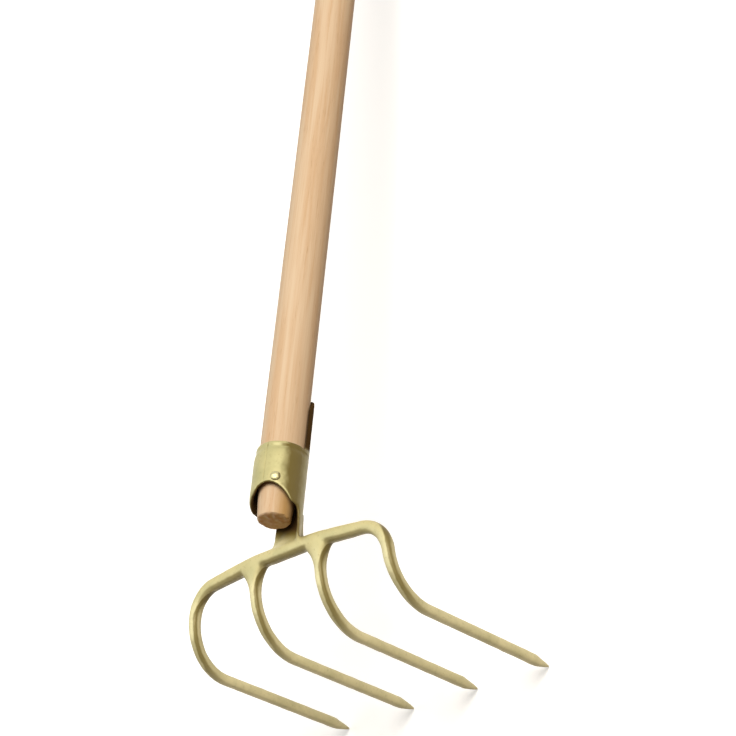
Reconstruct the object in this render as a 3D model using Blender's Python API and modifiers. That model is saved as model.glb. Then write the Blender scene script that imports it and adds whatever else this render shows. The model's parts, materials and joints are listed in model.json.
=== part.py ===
"""A four-tined manure drag, lying on its tine points and on the far end of its ash handle.

The head is a rolled steel socket with a long strap, a bent bar that is crossbar and both outer tines
in one, and two inner tines welded under the crossbar. Two nails hold the socket on the handle.
Each piece is built in the tool's own axes: +Z up the handle from its lower end, +Y the way the tines
point, +X across. One empty then lays the whole tool down.
"""

import math

import bmesh
import bpy
import numpy as np
from mathutils import Matrix, Vector

# Handle
HANDLE_LENGTH = 1.400
HANDLE_RADIUS = 0.018
HANDLE_LOWER_RADIUS = 0.0158
HANDLE_LOWER_CHAMFER = 0.0012
HANDLE_TOP_ROUNDING = 0.007

# Socket
SEAT_GAP = 0.0003
SOCKET_WALL = 0.003
COLLAR_TOP = 0.0615
STRAP_WIDTH = 0.034
STRAP_TOP = 0.119
STRAP_CROWN = 0.019
STRAP_SHOULDER = 0.005
MOUTH_LEFT = 0.0152
MOUTH_RIGHT = 0.0198
MOUTH_HEIGHT = 0.0260
MOUTH_TURN = math.radians(27)
SKIRT_BOTTOM = 0.004
SKIRT_BACK = 0.0095
SKIRT_SLANT = 0.003
SKIRT_ROUNDING = 0.006
SKIRT_TURN = math.radians(-12)
SEAM_WIDTH = 0.0009
SEAM_TURN = math.radians(18)
NECK_TOP = 0.012
NECK_HALF_WIDTH = 0.0165
NECK_FLARE = 0.0090

# Bars of the head, with the crossbar's middle below the handle's lower end
CROSSBAR_THICKNESS = 0.0120
SHOULDER_THICKNESS = 0.0098
TINE_THICKNESS = 0.0086
CROSSBAR_DROP = 0.0193
CROSSBAR_SET_IN = -0.0002
CROSSBAR_BEND = 0.120
SHOULDER_OUT = 0.1016
SHOULDER_SAG = 0.0061
SHOULDER_FORWARD = 0.0016
SHOULDER_BEND = 0.0265
TINE_PITCH = 0.070
ELBOW_OUT = 0.1081
ELBOW_FORWARD = 0.0290
ELBOW_DROP = 0.0830
ELBOW_BEND = 0.0400
INNER_ELBOW_BEND = 0.0460
TIP_REACH = 0.2070
TIP_DROP = 0.0683
TIP_TOE_IN = 0.0009

# Tine points and roots
POINT_LENGTH = 0.020
POINT_LENGTH_BELOW = 0.015
POINT_END_THICKNESS = 0.0012
ROOT_FLARE = 0.0085
ROOT_FLARE_LENGTH = 0.021

# Nails
NAIL_HEAD_RADIUS = 0.0040
NAIL_HEAD_HEIGHT = 0.0016
NAIL_SHANK_RADIUS = 0.0015
NAIL_LENGTH = 0.020
COLLAR_NAIL_HEIGHT = 0.0320
COLLAR_NAIL_TURN = math.radians(39)
STRAP_NAIL_HEIGHT = 0.098

# Sizes that follow from those above
SOCKET_BORE_RADIUS = HANDLE_RADIUS + SEAT_GAP
SOCKET_RADIUS = SOCKET_BORE_RADIUS + SOCKET_WALL
CROSSBAR_FORWARD = SOCKET_RADIUS - CROSSBAR_THICKNESS / 2 - CROSSBAR_SET_IN
SHOULDER_DROP = CROSSBAR_DROP + SHOULDER_SAG
INNER_TINE_OUT = TINE_PITCH / 2

# How finely round forms are drawn
ROUND_STEPS = 64
NAIL_STEPS = 20
BAR_SIDES = 16
BEND_STEP = math.radians(9)
BAR_SQUARENESS = 3.0
CUTTER_REACH = 0.030


def new_collection(name, hidden=False):
    collection = bpy.data.collections.new(name)
    bpy.context.scene.collection.children.link(collection)
    collection.hide_render = hidden
    return collection


def new_object(name, data, collection):
    obj = bpy.data.objects.new(name, data)
    collection.objects.link(obj)
    return obj


def new_material(name, colour, roughness, metallic):
    material = bpy.data.materials.new(name)
    material.use_nodes = True
    shader = material.node_tree.nodes["Principled BSDF"]
    shader.inputs["Base Color"].default_value = (*colour, 1)
    shader.inputs["Roughness"].default_value = roughness
    shader.inputs["Metallic"].default_value = metallic
    return material


def mesh_from(bm, name):
    """The finished mesh, with its faces pointing out and its round parts shaded smooth."""
    bmesh.ops.recalc_face_normals(bm, faces=bm.faces)
    mesh = bpy.data.meshes.new(name)
    bm.to_mesh(mesh)
    bm.free()
    mesh.shade_smooth()
    mesh.set_sharp_from_angle(angle=math.radians(35))
    return mesh


def turned(name, profile, collection, steps=ROUND_STEPS):
    """A profile of (radius, height) points, top to bottom on the outside, turned around Z."""
    mesh = bpy.data.meshes.new(name)
    points = [(radius, 0, height) for radius, height in profile]
    mesh.from_pydata(points, [(i, i + 1) for i in range(len(points) - 1)], [])
    obj = new_object(name, mesh, collection)
    screw = obj.modifiers.new("Turn", "SCREW")
    screw.steps = screw.render_steps = steps
    screw.use_merge_vertices = True
    screw.merge_threshold = 0.00001
    screw.use_smooth_shade = True
    return obj


def flat_plate(name, outline, near, far, collection):
    """An outline of (x, z) points, filled and given its thickness from y = near to y = far."""
    curve = bpy.data.curves.new(name, "CURVE")
    curve.dimensions = "2D"
    curve.fill_mode = "BOTH"
    curve.extrude = (far - near) / 2
    spline = curve.splines.new("POLY")
    spline.points.add(len(outline) - 1)
    for point, (x, z) in zip(spline.points, outline):
        point.co = (x, z, 0, 1)
    spline.use_cyclic_u = True
    flat = new_object(name, curve, collection)
    stand_up = Matrix.Translation((0, (near + far) / 2, 0)) @ Matrix.Rotation(math.pi / 2, 4, "X")
    evaluated = flat.evaluated_get(bpy.context.evaluated_depsgraph_get())
    mesh = bpy.data.meshes.new_from_object(evaluated)
    bpy.data.objects.remove(flat)
    mesh.transform(stand_up)
    bm = bmesh.new()
    bm.from_mesh(mesh)
    bmesh.ops.remove_doubles(bm, verts=bm.verts, dist=0.00001)
    bpy.data.meshes.remove(mesh)
    return new_object(name, mesh_from(bm, name), collection)


def arc(centre, radius, start, end, steps):
    """Points (x, z) along an arc or, with two radii, along part of an ellipse. Angles are in degrees."""
    wide, high = radius if isinstance(radius, tuple) else (radius, radius)
    angles = [math.radians(start + (end - start) * i / steps) for i in range(steps + 1)]
    return [(centre[0] + wide * math.cos(a), centre[1] + high * math.sin(a)) for a in angles]


def cut(obj, cutter):
    boolean = obj.modifiers.new("Cut " + cutter.name, "BOOLEAN")
    boolean.operation = "DIFFERENCE"
    boolean.object = cutter


def helper(obj):
    obj.hide_render = True
    obj.display_type = "WIRE"
    return obj


def rounded_route(corners, bends):
    """Points along straight runs between corners, with each inner corner bent to its radius.

    A bend has an even number of steps, so that its middle is a point of the route.
    """
    route = [corners[0]]
    for before, corner, after, radius in zip(corners, corners[1:], corners[2:], bends):
        back = (before - corner).normalized()
        ahead = (after - corner).normalized()
        opening = back.angle(ahead)
        swept = math.pi - opening
        centre = corner + (back + ahead).normalized() * radius / math.sin(opening / 2)
        start = corner + back * radius / math.tan(opening / 2) - centre
        axis = (-back).cross(ahead).normalized()
        steps = 2 * max(1, math.ceil(swept / BEND_STEP / 2))
        for i in range(steps + 1):
            route.append(centre + Matrix.Rotation(swept * i / steps, 3, axis) @ start)
    route.append(corners[-1])
    return route


def with_stations(route, distances):
    """The route with a point added at each of these distances from its start."""
    result = [route[0]]
    walked = 0.0
    for before, after in zip(route, route[1:]):
        length = (after - before).length
        for distance in sorted(distances):
            if walked + 1e-6 < distance < walked + length - 1e-6:
                result.append(before.lerp(after, (distance - walked) / length))
        walked += length
        result.append(after)
    return result


def rounded_square(half_wide, half_deep):
    """One section of a bar: a square with well rounded edges."""
    power = 2 / BAR_SQUARENESS
    points = []
    for i in range(BAR_SIDES):
        angle = 2 * math.pi * (i + 0.5) / BAR_SIDES
        c, s = math.cos(angle), math.sin(angle)
        wide = half_wide * math.copysign(abs(c) ** power, c)
        deep = half_deep * math.copysign(abs(s) ** power, s)
        points.append((wide, deep))
    return points


def forged_bar(name, route, section_at, side, collection, close_end=True):
    """A bar lofted along a route.

    section_at(distance, from_end) gives half width, half depth and how far the section is shifted
    in its depth direction. side is the width direction at the start and turns with the bends.
    """
    total = sum((b - a).length for a, b in zip(route, route[1:]))
    bm = bmesh.new()
    rings = []
    walked = 0.0
    for i, centre in enumerate(route):
        before = route[max(i - 1, 0)]
        after = route[min(i + 1, len(route) - 1)]
        into = (centre - before).normalized() if i else (after - centre).normalized()
        out = (after - centre).normalized() if i < len(route) - 1 else into
        along = (into + out).normalized()
        if not close_end and i == len(route) - 1:
            along = Vector((-1, 0, 0))
        walked += (centre - before).length
        side = (side - along * side.dot(along)).normalized()
        depth = along.cross(side)
        half_wide, half_deep, shift = section_at(walked, total - walked)
        ring = []
        for wide, deep in rounded_square(half_wide, half_deep):
            ring.append(bm.verts.new(centre + side * wide + depth * (deep + shift)))
        rings.append(ring)
    for first, second in zip(rings, rings[1:]):
        for j in range(BAR_SIDES):
            k = (j + 1) % BAR_SIDES
            bm.faces.new((first[j], first[k], second[k], second[j]))
    bm.faces.new(rings[0])
    if close_end:
        bm.faces.new(rings[-1])
    return new_object(name, mesh_from(bm, name), collection)


def point_section(distance, half):
    """The point of a tine: drawn in from all four sides, over a shorter length on the outer side."""
    end = POINT_END_THICKNESS / 2
    inner = end + (half - end) * min(distance / POINT_LENGTH, 1) ** 0.8
    outer = end + (half - end) * min(distance / POINT_LENGTH_BELOW, 1) ** 0.8
    return inner, (inner + outer) / 2, (inner - outer) / 2


def point_stations():
    return [POINT_LENGTH * i / 8 for i in range(1, 9)]


def crossbar_corners(side):
    """The crossbar's corners from one shoulder to the other, starting at the shoulder on this side."""
    forward = CROSSBAR_FORWARD + SHOULDER_FORWARD
    return [
        Vector((side * SHOULDER_OUT, forward, -SHOULDER_DROP)),
        Vector((side * INNER_TINE_OUT, CROSSBAR_FORWARD, -CROSSBAR_DROP)),
        Vector((-side * INNER_TINE_OUT, CROSSBAR_FORWARD, -CROSSBAR_DROP)),
        Vector((-side * SHOULDER_OUT, forward, -SHOULDER_DROP)),
    ]


def bow_half(name, collection, clearance=0.0):
    """Half of the bow, open at x = 0 and mirrored there. A clearance makes it the cutter of its seats."""
    corners = [
        Vector((ELBOW_OUT - TIP_TOE_IN, TIP_REACH, -TIP_DROP)),
        Vector((ELBOW_OUT, ELBOW_FORWARD, -ELBOW_DROP)),
    ] + crossbar_corners(1)
    route = rounded_route(corners, [ELBOW_BEND, SHOULDER_BEND, CROSSBAR_BEND, CROSSBAR_BEND])
    route = [point for point in route if point.x > 0]
    route.append(Vector((0, CROSSBAR_FORWARD, -CROSSBAR_DROP)))
    places = [INNER_TINE_OUT, SHOULDER_OUT, SHOULDER_OUT + ELBOW_BEND]
    thicknesses = [CROSSBAR_THICKNESS, SHOULDER_THICKNESS, TINE_THICKNESS]

    def section(distance, from_end):
        thickness = np.interp(from_end, places, thicknesses)
        wide, deep, shift = point_section(distance, float(thickness) / 2)
        return wide + clearance, deep + clearance, shift

    route = with_stations(route, point_stations())
    obj = forged_bar(name, route, section, Vector((1, 0, 0)), collection, close_end=False)
    mirror = obj.modifiers.new("Other half", "MIRROR")
    mirror.merge_threshold = 0.00001
    return obj


def inner_tine(name, side, collection, bar_seat):
    """One inner tine from its point up to the crossbar, flared at its root and saddled on the bar."""
    corners = [
        Vector((side * (INNER_TINE_OUT - TIP_TOE_IN), TIP_REACH, -TIP_DROP)),
        Vector((side * INNER_TINE_OUT, ELBOW_FORWARD, -ELBOW_DROP)),
        crossbar_corners(side)[1],
    ]
    route = rounded_route(corners, [INNER_ELBOW_BEND])
    total = sum((b - a).length for a, b in zip(route, route[1:]))
    bar_half = CROSSBAR_THICKNESS / 2
    flare_stations = [total - bar_half - ROOT_FLARE_LENGTH * i / 7 for i in range(8)]
    route = with_stations(route, point_stations() + flare_stations)

    def section(distance, from_end):
        wide, deep, shift = point_section(distance, TINE_THICKNESS / 2)
        share = min(max(1 - (from_end - bar_half) / ROOT_FLARE_LENGTH, 0), 1)
        return wide + ROOT_FLARE * share**2.4, deep, shift

    obj = forged_bar(name, route, section, Vector((1, 0, 0)), collection)
    cut(obj, bar_seat)
    return obj


def neck(cutters):
    """The forged neck: it swells out of the socket's back wall and spreads onto the crossbar."""
    wall_middle = SOCKET_RADIUS - SOCKET_WALL / 2
    bar_half = CROSSBAR_THICKNESS / 2
    drop = NECK_TOP + CROSSBAR_DROP
    steps = 10
    bm = bmesh.new()
    rings = []
    for i in range(steps + 1):
        share = i / steps
        height = NECK_TOP - drop * share
        swell = share**1.6
        forward = wall_middle + (CROSSBAR_FORWARD - wall_middle) * swell
        deep = SOCKET_WALL / 2 + (bar_half - SOCKET_WALL / 2) * swell
        wide = NECK_HALF_WIDTH * (0.72 + 0.28 * min(share * 2, 1)) + NECK_FLARE * share**5
        ring = []
        for x, y in rounded_square(wide, deep):
            ring.append(bm.verts.new((x, forward + y, height)))
        rings.append(ring)
    for first, second in zip(rings, rings[1:]):
        for j in range(BAR_SIDES):
            k = (j + 1) % BAR_SIDES
            bm.faces.new((first[j], first[k], second[k], second[j]))
    bm.faces.new(rings[0])
    bm.faces.new(rings[-1])
    return helper(new_object("neck", mesh_from(bm, "neck"), cutters))


def handle(collection):
    """The ash handle: straight, drawn in a little where it enters the socket, rounded at the top."""
    top = arc(
        (HANDLE_RADIUS - HANDLE_TOP_ROUNDING, HANDLE_LENGTH - HANDLE_TOP_ROUNDING),
        HANDLE_TOP_ROUNDING, 90, 0, 6,
    )
    profile = [(0, HANDLE_LENGTH)] + top
    profile.append((HANDLE_RADIUS, COLLAR_TOP))
    profile.append((HANDLE_LOWER_RADIUS, HANDLE_LOWER_CHAMFER))
    profile.append((HANDLE_LOWER_RADIUS - HANDLE_LOWER_CHAMFER, 0))
    profile.append((0, 0))
    return turned("handle", profile, collection)


def strap_relief(cutters):
    """What is cut away above the collar: all of the front, and the back beside the strap."""
    half = STRAP_WIDTH / 2
    edge = SOCKET_RADIUS + CUTTER_REACH
    top = STRAP_TOP + CUTTER_REACH
    shoulder = COLLAR_TOP + STRAP_SHOULDER
    left = arc((-half - STRAP_SHOULDER, shoulder), STRAP_SHOULDER, 270, 360, 5)
    crown = arc((0, STRAP_TOP - STRAP_CROWN), (half, STRAP_CROWN), 180, 0, 16)
    right = arc((half + STRAP_SHOULDER, shoulder), STRAP_SHOULDER, 180, 270, 5)
    outline = [(-edge, top), (-edge, COLLAR_TOP)] + left + crown + right + [(edge, COLLAR_TOP), (edge, top)]
    split = SOCKET_BORE_RADIUS * 0.4
    back = flat_plate("beside_strap", outline, split, edge, cutters)
    box = [(-edge, COLLAR_TOP), (edge, COLLAR_TOP), (edge, top), (-edge, top)]
    front = flat_plate("above_collar", box, -edge, split + SEAT_GAP, cutters)
    return helper(back), helper(front)


def mouth(cutters):
    """The arched mouth that shows the handle's lower end. It faces a little to one side."""
    deep = CROSSBAR_DROP + CUTTER_REACH
    left = arc((0, 0), (MOUTH_LEFT, MOUTH_HEIGHT), 180, 90, 14)
    right = arc((0, 0), (MOUTH_RIGHT, MOUTH_HEIGHT), 90, 0, 14)
    outline = [(-MOUTH_LEFT, -deep)] + left + right[1:] + [(MOUTH_RIGHT, -deep)]
    obj = flat_plate("mouth", outline, -SOCKET_RADIUS - CUTTER_REACH, 0, cutters)
    obj.rotation_euler.z = MOUTH_TURN
    return helper(obj)


def below_skirt(cutters):
    """The cut under the skirt, whose back edge runs down into the neck above the crossbar."""
    edge = SOCKET_RADIUS + CUTTER_REACH
    bottom = -CROSSBAR_DROP - CUTTER_REACH
    corner = (SKIRT_BACK - SKIRT_ROUNDING, SKIRT_BOTTOM - SKIRT_ROUNDING)
    curve = arc(corner, SKIRT_ROUNDING, 90, 0, 6)
    low = (SKIRT_BACK + SKIRT_SLANT, -CROSSBAR_DROP)
    outline = [(-edge, SKIRT_BOTTOM)] + curve + [low, (low[0], bottom), (-edge, bottom)]
    obj = flat_plate("below_skirt", outline, -edge, edge, cutters)
    obj.rotation_euler.z = math.pi / 2 + SKIRT_TURN
    return helper(obj)


def seam(cutters):
    """The butt seam, where the edges of the rolled sheet meet above the mouth."""
    half = SEAM_WIDTH / 2
    outline = [(-half, 0), (half, 0), (half, COLLAR_TOP * 2), (-half, COLLAR_TOP * 2)]
    obj = flat_plate("seam", outline, -SOCKET_RADIUS - CUTTER_REACH, -HANDLE_LOWER_RADIUS / 2, cutters)
    obj.rotation_euler.z = SEAM_TURN
    return helper(obj)


def socket(collection, cutters, bar_seat):
    """The socket: a rolled tube with its strap up the back and its neck down to the crossbar."""
    top = STRAP_TOP + SEAT_GAP
    bottom = -CROSSBAR_DROP
    profile = [
        (SOCKET_RADIUS, top),
        (SOCKET_RADIUS, bottom),
        (SOCKET_BORE_RADIUS, bottom),
        (SOCKET_BORE_RADIUS, top),
        (SOCKET_RADIUS, top),
    ]
    obj = turned("socket", profile, collection)
    for cutter in (*strap_relief(cutters), mouth(cutters), below_skirt(cutters), seam(cutters)):
        cut(obj, cutter)
    join = obj.modifiers.new("Neck", "BOOLEAN")
    join.operation = "UNION"
    join.object = neck(cutters)
    cut(obj, bar_seat)
    return obj


def nail(name, height, turn, collection, cutters, holed):
    """A domed nail driven through the socket into the handle, and the holes that it fills."""
    underside = SOCKET_RADIUS + SEAT_GAP
    dome = arc((0, 0), (NAIL_HEAD_RADIUS, NAIL_HEAD_HEIGHT), 90, 0, 6)
    tip = -NAIL_LENGTH
    point = tip + NAIL_SHANK_RADIUS * 3
    profile = dome + [(NAIL_SHANK_RADIUS, 0), (NAIL_SHANK_RADIUS, point), (0, tip)]
    obj = turned(name, profile, collection, NAIL_STEPS)
    hole_radius = NAIL_SHANK_RADIUS + SEAT_GAP
    hole_profile = [(0, CUTTER_REACH), (hole_radius, CUTTER_REACH), (hole_radius, tip - SEAT_GAP), (0, tip - SEAT_GAP)]
    hole = helper(turned(name + "_hole", hole_profile, cutters, NAIL_STEPS))
    outward = Vector((math.sin(turn), -math.cos(turn), 0))
    for piece in (obj, hole):
        piece.rotation_euler = outward.to_track_quat("Z", "Y").to_euler()
        piece.location = outward * underside + Vector((0, 0, height))
    for other in holed:
        cut(other, hole)
    return obj


def lowest_and_middle(objects):
    """The lowest height of the objects and the middle of their length, in world space."""
    graph = bpy.context.evaluated_depsgraph_get()
    heights = []
    lengths = []
    for obj in objects:
        evaluated = obj.evaluated_get(graph)
        for vertex in evaluated.data.vertices:
            place = evaluated.matrix_world @ vertex.co
            heights.append(place.z)
            lengths.append(place.y)
    return min(heights), (min(lengths) + max(lengths)) / 2


def build():
    for obj in list(bpy.data.objects):
        bpy.data.objects.remove(obj)
    parts = new_collection("manure_drag")
    cutters = new_collection("cutters", hidden=True)
    wood = new_material("ash_wood", (0.72, 0.52, 0.33), 0.55, 0.0)
    lacquer = new_material("gold_lacquer", (0.62, 0.55, 0.28), 0.38, 0.6)
    nail_steel = new_material("nail_steel", (0.60, 0.55, 0.36), 0.35, 0.9)

    bar_seat = helper(bow_half("crossbar_seat", cutters, clearance=SEAT_GAP))
    pole = handle(parts)
    rolled = socket(parts, cutters, bar_seat)
    bow = bow_half("outer_tines_and_crossbar", parts)
    left = inner_tine("inner_tine_left", -1, parts, bar_seat)
    right = inner_tine("inner_tine_right", 1, parts, bar_seat)
    holed = (pole, rolled)
    collar_nail = nail("collar_nail", COLLAR_NAIL_HEIGHT, COLLAR_NAIL_TURN, parts, cutters, holed)
    strap_nail = nail("strap_nail", STRAP_NAIL_HEIGHT, math.pi, parts, cutters, holed)

    pole.data.materials.append(wood)
    for piece in (rolled, bow, left, right):
        piece.data.materials.append(lacquer)
    for piece in (collar_nail, strap_nail):
        piece.data.materials.append(nail_steel)

    lying = new_object("lying_tool", None, parts)
    for obj in list(parts.objects) + list(cutters.objects):
        if obj is not lying:
            obj.parent = lying
    rise = TIP_REACH - HANDLE_RADIUS
    run = HANDLE_LENGTH - HANDLE_TOP_ROUNDING + TIP_DROP
    lying.rotation_euler.x = -math.pi / 2 - math.atan(rise / run)
    bpy.context.view_layer.update()
    pieces = [obj for obj in parts.objects if obj.type == "MESH"]
    lowest, middle = lowest_and_middle(pieces)
    lying.location = (0, -middle, -lowest)


build()
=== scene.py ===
"""The looks of a four-tined manure drag that lies on its tine points: its ash pole, its welded and
lacquered head, its two nails, and the pale floor, the light and the camera that show it."""

import json
import math

import bmesh
import bpy
from mathutils import Matrix, Vector, noise


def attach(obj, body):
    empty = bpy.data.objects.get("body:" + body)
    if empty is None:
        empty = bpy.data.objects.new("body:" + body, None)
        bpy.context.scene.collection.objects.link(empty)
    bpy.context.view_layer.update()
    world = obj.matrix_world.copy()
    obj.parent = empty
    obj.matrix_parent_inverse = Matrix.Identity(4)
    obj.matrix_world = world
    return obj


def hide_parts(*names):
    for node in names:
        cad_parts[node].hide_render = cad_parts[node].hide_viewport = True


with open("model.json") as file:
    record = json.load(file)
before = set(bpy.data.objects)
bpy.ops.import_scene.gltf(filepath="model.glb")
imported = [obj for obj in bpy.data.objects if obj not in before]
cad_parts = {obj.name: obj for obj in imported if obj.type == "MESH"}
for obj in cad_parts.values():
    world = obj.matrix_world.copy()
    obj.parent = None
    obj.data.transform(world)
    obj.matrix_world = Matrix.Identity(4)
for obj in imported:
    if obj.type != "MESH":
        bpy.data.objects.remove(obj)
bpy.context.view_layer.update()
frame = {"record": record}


# How the tool lies
# Every piece is modelled as if the pole stood upright on the origin, with the tines pointing along +Y,
# and is then laid down by this one matrix, which comes from the flat end of the pole in the frame.
POLE_LENGTH = 1.400

pole_end = next(mount for mount in frame["record"]["mounts"] if mount["name"] == "handle_end")
sideways = Vector((1, 0, 0))
up_the_pole = Vector(pole_end["axis"]).normalized()
tineward = up_the_pole.cross(sideways)
pole_foot = Vector(pole_end["pos_m"]) - up_the_pole * POLE_LENGTH
lying = Matrix.Translation(pole_foot) @ Matrix((sideways, tineward, up_the_pole)).transposed().to_4x4()


# Ash pole
# A straight pole of pale ash, turned and sanded, with its foot drawn in to sit in the socket and its
# last stretch pared to a blunt nose. Growth bands run along it, and its sawn foot is darker end grain.
# The side of its foot turned from the light carries painted shade, darker and browner.
POLE_RADIUS = 0.018
POLE_FOOT_RADIUS = 0.0158
POLE_NOSE_RADIUS = 0.0132
POLE_NOSE_LENGTH = 0.030
POLE_NOSE_OFFSET = (-0.0005, -0.0002)
POLE_FOOT_CHAMFER = 0.0010
POLE_TOP_ROUNDING = 0.007
POLE_TAPER_TOP = 0.0615
POLE_SIDES = 128
POLE_RING_STEP = 0.010
POLE_NOSE_STEP = 0.002
POLE_END_STEP = 0.003
POLE_WAVES = (40, 40, 9)
POLE_WAVE_SINK = 0.5
POLE_UNEVENNESS = 0.00012
SAW_DEPTH = 0.003
SAW_MARKS = 260
SAW_MARKS_RISE = 0.4
SAW_RAGGEDNESS = 0.0009
SHARP_ANGLE = math.radians(40)
ROUNDING_STEPS = 12
MERGE_DISTANCE = 0.000005

ASH_PALE = (0.765, 0.590, 0.405)
ASH_WARM = (0.640, 0.400, 0.215)
ASH_PORE = (0.420, 0.245, 0.115)
ASH_END_GRAIN = (0.460, 0.170, 0.036)
# Painted shade on the side of the foot turned from the light
ASH_SHADED = (0.560, 0.330, 0.100)
BAND_GRAIN = {"along": 0.035, "scale": 210, "detail": 2.0, "distortion": 0.4}
FIBRE_GRAIN = {"along": 0.018, "scale": 900, "detail": 3.0, "distortion": 0.0}
PORE_GRAIN = {"along": 0.05, "scale": 1500, "detail": 2.0, "distortion": 0.0}
CLOUD_GRAIN = {"along": 0.25, "scale": 28, "detail": 2.0, "distortion": 0.0}
BAND_EDGES = (0.40, 0.66)
BAND_SHARE = 0.55
FIBRE_EDGES = (0.45, 0.75)
FIBRE_SHARE = 0.35
PORE_EDGES = (0.58, 0.70)
PORE_SHARE = 0.45
CLOUD_EDGES = (0.35, 0.75)
CLOUD_SHARE = 0.18
SAWN_HEIGHTS = (POLE_FOOT_CHAMFER * 0.8, -POLE_FOOT_CHAMFER * 0.2)
SAWN_SHARE = 0.85
# The side that faces away from the light, toward which painted shade is laid on the wood and on the lacquer
SHADED_SIDE = (0.722, 0.692, 0.0)
FOOT_SHADE_EDGES = (-0.15, 0.55)
FOOT_SHADE_HEIGHTS = (0.036, 0.020)
FOOT_SHADE_SHARE = 0.75
ASH_ROUGHNESS = (0.42, 0.60)
ASH_SPECULAR = 0.12
ASH_RELIEF = 0.25
RELIEF_DEPTH = 0.0003
MIX_COLOURS_IN = (6, 7)
MIX_COLOUR_OUT = 2


def clamped(share):
    """The share kept between 0 and 1."""
    return min(max(share, 0.0), 1.0)


def arc(centre, radii, start, end, steps=ROUNDING_STEPS):
    """Points along part of an ellipse, with the angles in degrees."""
    angles = [math.radians(start + (end - start) * i / steps) for i in range(steps + 1)]
    return [(centre[0] + radii[0] * math.cos(a), centre[1] + radii[1] * math.sin(a)) for a in angles]


def stretch(start, end, step):
    """Points between two profile points, both left out, no further apart than the step."""
    start = Vector(start)
    end = Vector(end)
    count = math.ceil((end - start).length / step)
    return [tuple(start.lerp(end, i / count)) for i in range(1, count)]


def placed(name, data):
    """A new object in the scene that shows this mesh, lamp or camera."""
    obj = bpy.data.objects.new(name, data)
    bpy.context.scene.collection.objects.link(obj)
    return obj


def line_through(name, points):
    """An object that is one line through some points."""
    mesh = bpy.data.meshes.new(name)
    mesh.from_pydata(points, [(i, i + 1) for i in range(len(points) - 1)], [])
    return placed(name, mesh)


def outward(mesh):
    """Merges the mesh's doubles, turns its faces out and shades it smooth."""
    bm = bmesh.new()
    bm.from_mesh(mesh)
    bmesh.ops.remove_doubles(bm, verts=bm.verts, dist=MERGE_DISTANCE)
    bmesh.ops.recalc_face_normals(bm, faces=bm.faces)
    bm.to_mesh(mesh)
    bm.free()
    mesh.shade_smooth()


def settled(obj):
    """Turns an object and its modifiers into a plain mesh object of the same name."""
    name = obj.name
    bpy.context.view_layer.update()
    mesh = bpy.data.meshes.new_from_object(obj.evaluated_get(bpy.context.evaluated_depsgraph_get()))
    bpy.data.objects.remove(obj)
    mesh.name = name
    return placed(name, mesh)


def turned(name, profile, sides):
    """A profile of (radius, height) points, top to bottom on its outer side, turned about the pole."""
    obj = line_through(name, [(radius, 0, height) for radius, height in profile])
    screw = obj.modifiers.new("Turned", "SCREW")
    screw.steps = screw.render_steps = sides
    screw.use_merge_vertices = True
    screw.merge_threshold = MERGE_DISTANCE
    solid = settled(obj)
    outward(solid.data)
    return solid


pole_top = arc(
    (POLE_RADIUS - POLE_TOP_ROUNDING, POLE_LENGTH - POLE_TOP_ROUNDING),
    (POLE_TOP_ROUNDING, POLE_TOP_ROUNDING), 90, 0,
)
pole_shoulder = (POLE_RADIUS, POLE_TAPER_TOP)
pole_nose = (POLE_FOOT_RADIUS, POLE_NOSE_LENGTH)
pole_foot_edge = (POLE_NOSE_RADIUS, POLE_FOOT_CHAMFER)
foot_disc = (POLE_NOSE_RADIUS - POLE_FOOT_CHAMFER, 0)
pole_profile = [(0, POLE_LENGTH)] + stretch((0, POLE_LENGTH), pole_top[0], POLE_END_STEP) + pole_top
pole_profile += stretch(pole_top[-1], pole_shoulder, POLE_RING_STEP) + [pole_shoulder]
pole_profile += stretch(pole_shoulder, pole_nose, POLE_RING_STEP) + [pole_nose]
pole_profile += stretch(pole_nose, pole_foot_edge, POLE_NOSE_STEP) + [pole_foot_edge, foot_disc]
pole_profile += stretch(foot_disc, (0, 0), POLE_END_STEP) + [(0, 0)]
pole = turned("ash_pole", pole_profile, POLE_SIDES)
for vertex in pole.data.vertices:
    vertex.co += Vector((*POLE_NOSE_OFFSET, 0)) * clamped(1 - vertex.co.z / POLE_NOSE_LENGTH)
    radial = Vector((vertex.co.x, vertex.co.y, 0))
    sawn = clamped(1 - vertex.co.z / SAW_DEPTH)
    vertex.co.z += sawn * (noise.noise(vertex.co * SAW_MARKS) + SAW_MARKS_RISE) * SAW_RAGGEDNESS
    if radial.length > POLE_FOOT_RADIUS / 2:
        wave = noise.noise(vertex.co * Vector(POLE_WAVES))
        vertex.co += radial.normalized() * (wave - POLE_WAVE_SINK) * POLE_UNEVENNESS
pole.data.set_sharp_from_angle(angle=SHARP_ANGLE)
pole.data.transform(lying)


def along_the_pole(tree):
    """Texture coordinates turned back so that Z runs up the pole from its foot."""
    place = tree.nodes.new("ShaderNodeTexCoord")
    turn = tree.nodes.new("ShaderNodeMapping")
    turn.vector_type = "TEXTURE"
    turn.inputs["Location"].default_value = lying.translation
    turn.inputs["Rotation"].default_value = lying.to_euler()
    tree.links.new(place.outputs["Object"], turn.inputs["Vector"])
    return turn.outputs["Vector"]


def feed(tree, value, socket):
    """Gives a socket its value, which may be another socket or plain."""
    if isinstance(value, bpy.types.NodeSocket):
        tree.links.new(value, socket)
    else:
        socket.default_value = value


def vectors(tree, operation, first, second):
    """One step on a vector socket, where the second value may be a socket or plain."""
    step = tree.nodes.new("ShaderNodeVectorMath")
    step.operation = operation
    tree.links.new(first, step.inputs[0])
    feed(tree, second, step.inputs["Scale" if operation == "SCALE" else 1])
    return step.outputs["Value" if operation in ("DOT_PRODUCT", "LENGTH") else "Vector"]


def parts_of(tree, vector):
    """The X, Y and Z of a vector."""
    split = tree.nodes.new("ShaderNodeSeparateXYZ")
    tree.links.new(vector, split.inputs["Vector"])
    return split.outputs["X"], split.outputs["Y"], split.outputs["Z"]


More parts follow.
